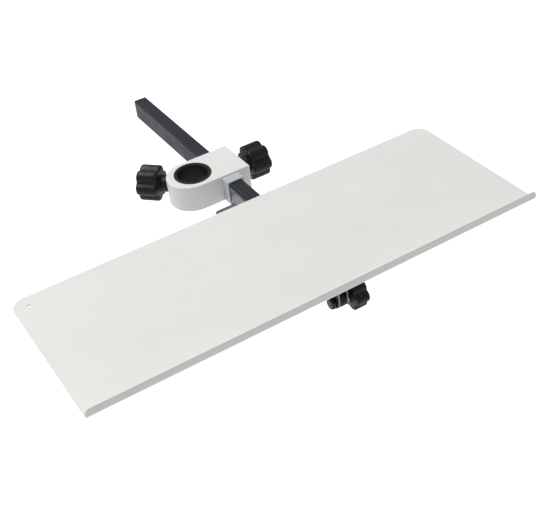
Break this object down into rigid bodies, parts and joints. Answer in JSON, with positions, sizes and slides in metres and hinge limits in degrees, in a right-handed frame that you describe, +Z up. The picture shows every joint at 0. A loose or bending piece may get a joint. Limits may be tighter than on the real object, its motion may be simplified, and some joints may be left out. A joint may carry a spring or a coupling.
{
  "type": "drawing board",
  "caption": "Slim sheet-metal drawing board with a front lip, tilting on the end of a square arm that slides through a pole clamp and is locked by star knobs.",
  "frame": {"origin": "on the pole bore's axis, half way up the clamp", "axes": "+X along the board's long side to the user's right, +Y along the bar away from the user, +Z up along the pole"},
  "size_m": [0.62, 0.5845, 0.0633],
  "materials": {
    "white_paint": "satin white powder coat",
    "graphite_paint": "satin dark blue-grey powder coat",
    "light_grey_paint": "satin light blue-grey paint",
    "black_plastic": "fine-grained moulded nylon",
    "zinc_sheet": "rolled and zinc plated, dulled",
    "black_steel": "black oxide",
    "zinc_steel": "turned and zinc plated",
    "brass": "turned, worn smooth"
  },
  "bodies": {
    "clamp": {"clamp_block": "white_paint", "pole_bush": "black_plastic", "bar_sleeve": "light_grey_paint"},
    "pole_lock_pad": {"pole_pad": "brass"},
    "pole_lock_knob": {"pole_screw": "zinc_steel", "pole_knob": "black_plastic", "pole_knob_cap": "black_plastic"},
    "bar_lock_pad": {"bar_pad": "brass"},
    "bar_lock_knob": {"bar_screw": "zinc_steel", "bar_knob": "black_plastic", "bar_knob_cap": "black_plastic"},
    "arm": {"bar_tube": "graphite_paint", "bar_rear_cap": "black_plastic", "bar_end_fitting": "graphite_paint", "fitting_screws": "zinc_steel", "stop_rail": "zinc_sheet", "rail_screws": "zinc_steel", "rest_pads": "black_plastic", "tilt_bolt": "black_steel", "bolt_washer": "black_steel", "friction_washers": "black_plastic"},
    "board": {"board": "white_paint", "tilt_bracket": "zinc_sheet", "stiffening_strip": "zinc_sheet", "board_studs": "zinc_steel", "board_nuts": "zinc_steel"},
    "tilt_lock_washer": {"thrust_washer": "zinc_steel"},
    "tilt_lock_knob": {"tilt_knob": "black_plastic", "tilt_knob_nut": "zinc_steel"}
  },
  "joints": [
    {"name": "bar_slide", "type": "slide", "parent": "clamp", "child": "arm", "axis": [0, 1, 0], "range_m": [-0.19, 0.003]},
    {"name": "board_tilt", "type": "hinge", "parent": "arm", "child": "board", "pos_m": [0.0396, -0.3115, -0.013], "axis": [1, 0, 0], "range_deg": [0, 60]},
    {"name": "pole_pad_slide", "type": "slide", "parent": "clamp", "child": "pole_lock_pad", "axis": [-0.6947, 0.7193, 0], "range_m": [0, 0.0016]},
    {"name": "pole_knob_turn", "type": "hinge", "parent": "pole_lock_pad", "child": "pole_lock_knob", "pos_m": [-0.04168, 0.04316, 0], "axis": [-0.6947, 0.7193, 0], "range_deg": [0, 360]},
    {"name": "bar_pad_slide", "type": "slide", "parent": "clamp", "child": "bar_lock_pad", "axis": [1, 0, 0], "range_m": [0, 0.0016]},
    {"name": "bar_knob_turn", "type": "hinge", "parent": "bar_lock_pad", "child": "bar_lock_knob", "pos_m": [0.09, 0, 0], "axis": [1, 0, 0], "range_deg": [0, 360]},
    {"name": "tilt_washer_slide", "type": "slide", "parent": "arm", "child": "tilt_lock_washer", "axis": [1, 0, 0], "range_m": [0, 0.0013]},
    {"name": "tilt_knob_turn", "type": "hinge", "parent": "tilt_lock_washer", "child": "tilt_lock_knob", "pos_m": [0.05, -0.3115, -0.013], "axis": [1, 0, 0], "range_deg": [0, 360]}
  ],
  "couplings": [
    {"joint": "pole_pad_slide", "follows": "pole_knob_turn", "m_per_rad": 0.00023873},
    {"joint": "bar_pad_slide", "follows": "bar_knob_turn", "m_per_rad": 0.00023873},
    {"joint": "tilt_washer_slide", "follows": "tilt_knob_turn", "m_per_rad": 0.00019894}
  ]
}
